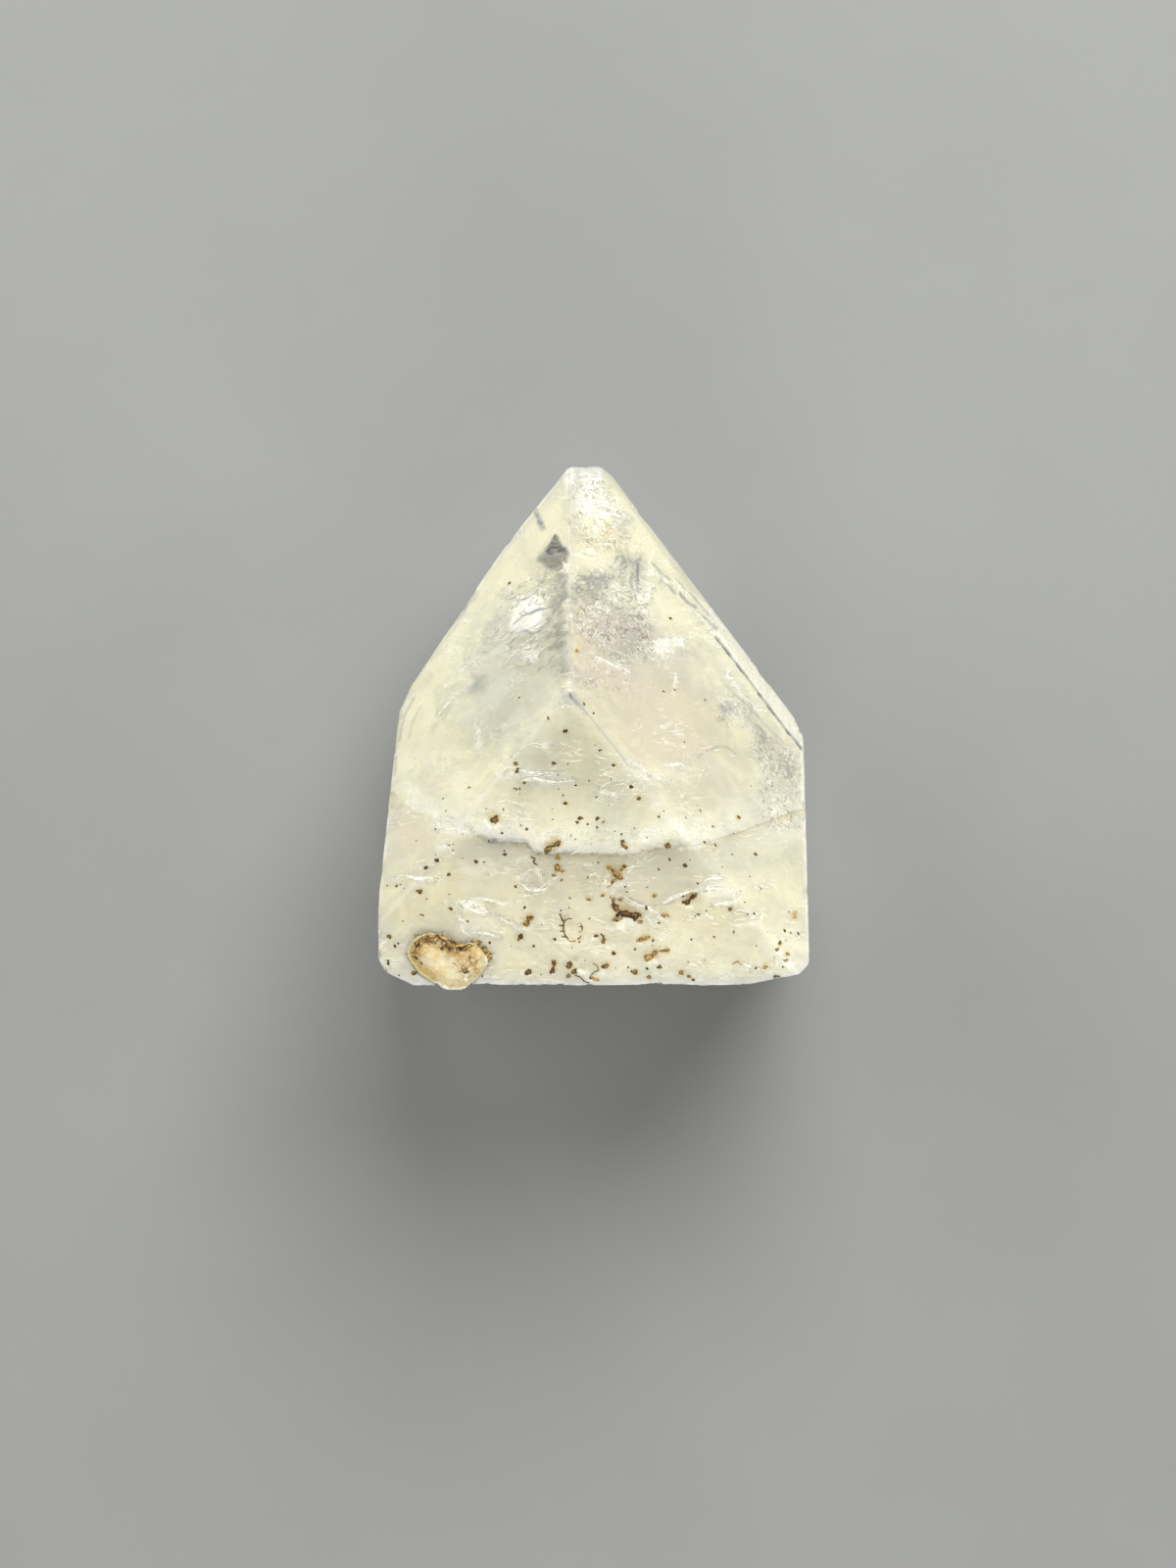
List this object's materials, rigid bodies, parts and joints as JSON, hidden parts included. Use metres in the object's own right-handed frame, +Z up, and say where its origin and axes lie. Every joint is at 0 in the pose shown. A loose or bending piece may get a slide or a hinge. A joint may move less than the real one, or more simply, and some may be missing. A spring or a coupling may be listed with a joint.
{
  "type": "apophyllite crystal pyramid",
  "caption": "Natural apophyllite crystal point, clear to milky, lying on a prism face, with a growth ledge, a broken root and a rust-stained grain of matrix set in it.",
  "frame": {"origin": "middle of the footprint, on the surface that the crystal lies on", "axes": "+Y along the crystal's long axis to its point, +Z up through the upper prism face, +X to the right seen from above with the point away"},
  "size_m": [0.0366, 0.045, 0.034],
  "materials": {
    "crystal": "satin",
    "matrix_grain": "satin"
  },
  "bodies": {
    "root": {"crystal": "crystal", "matrix_grain": "matrix_grain"}
  },
  "joints": []
}
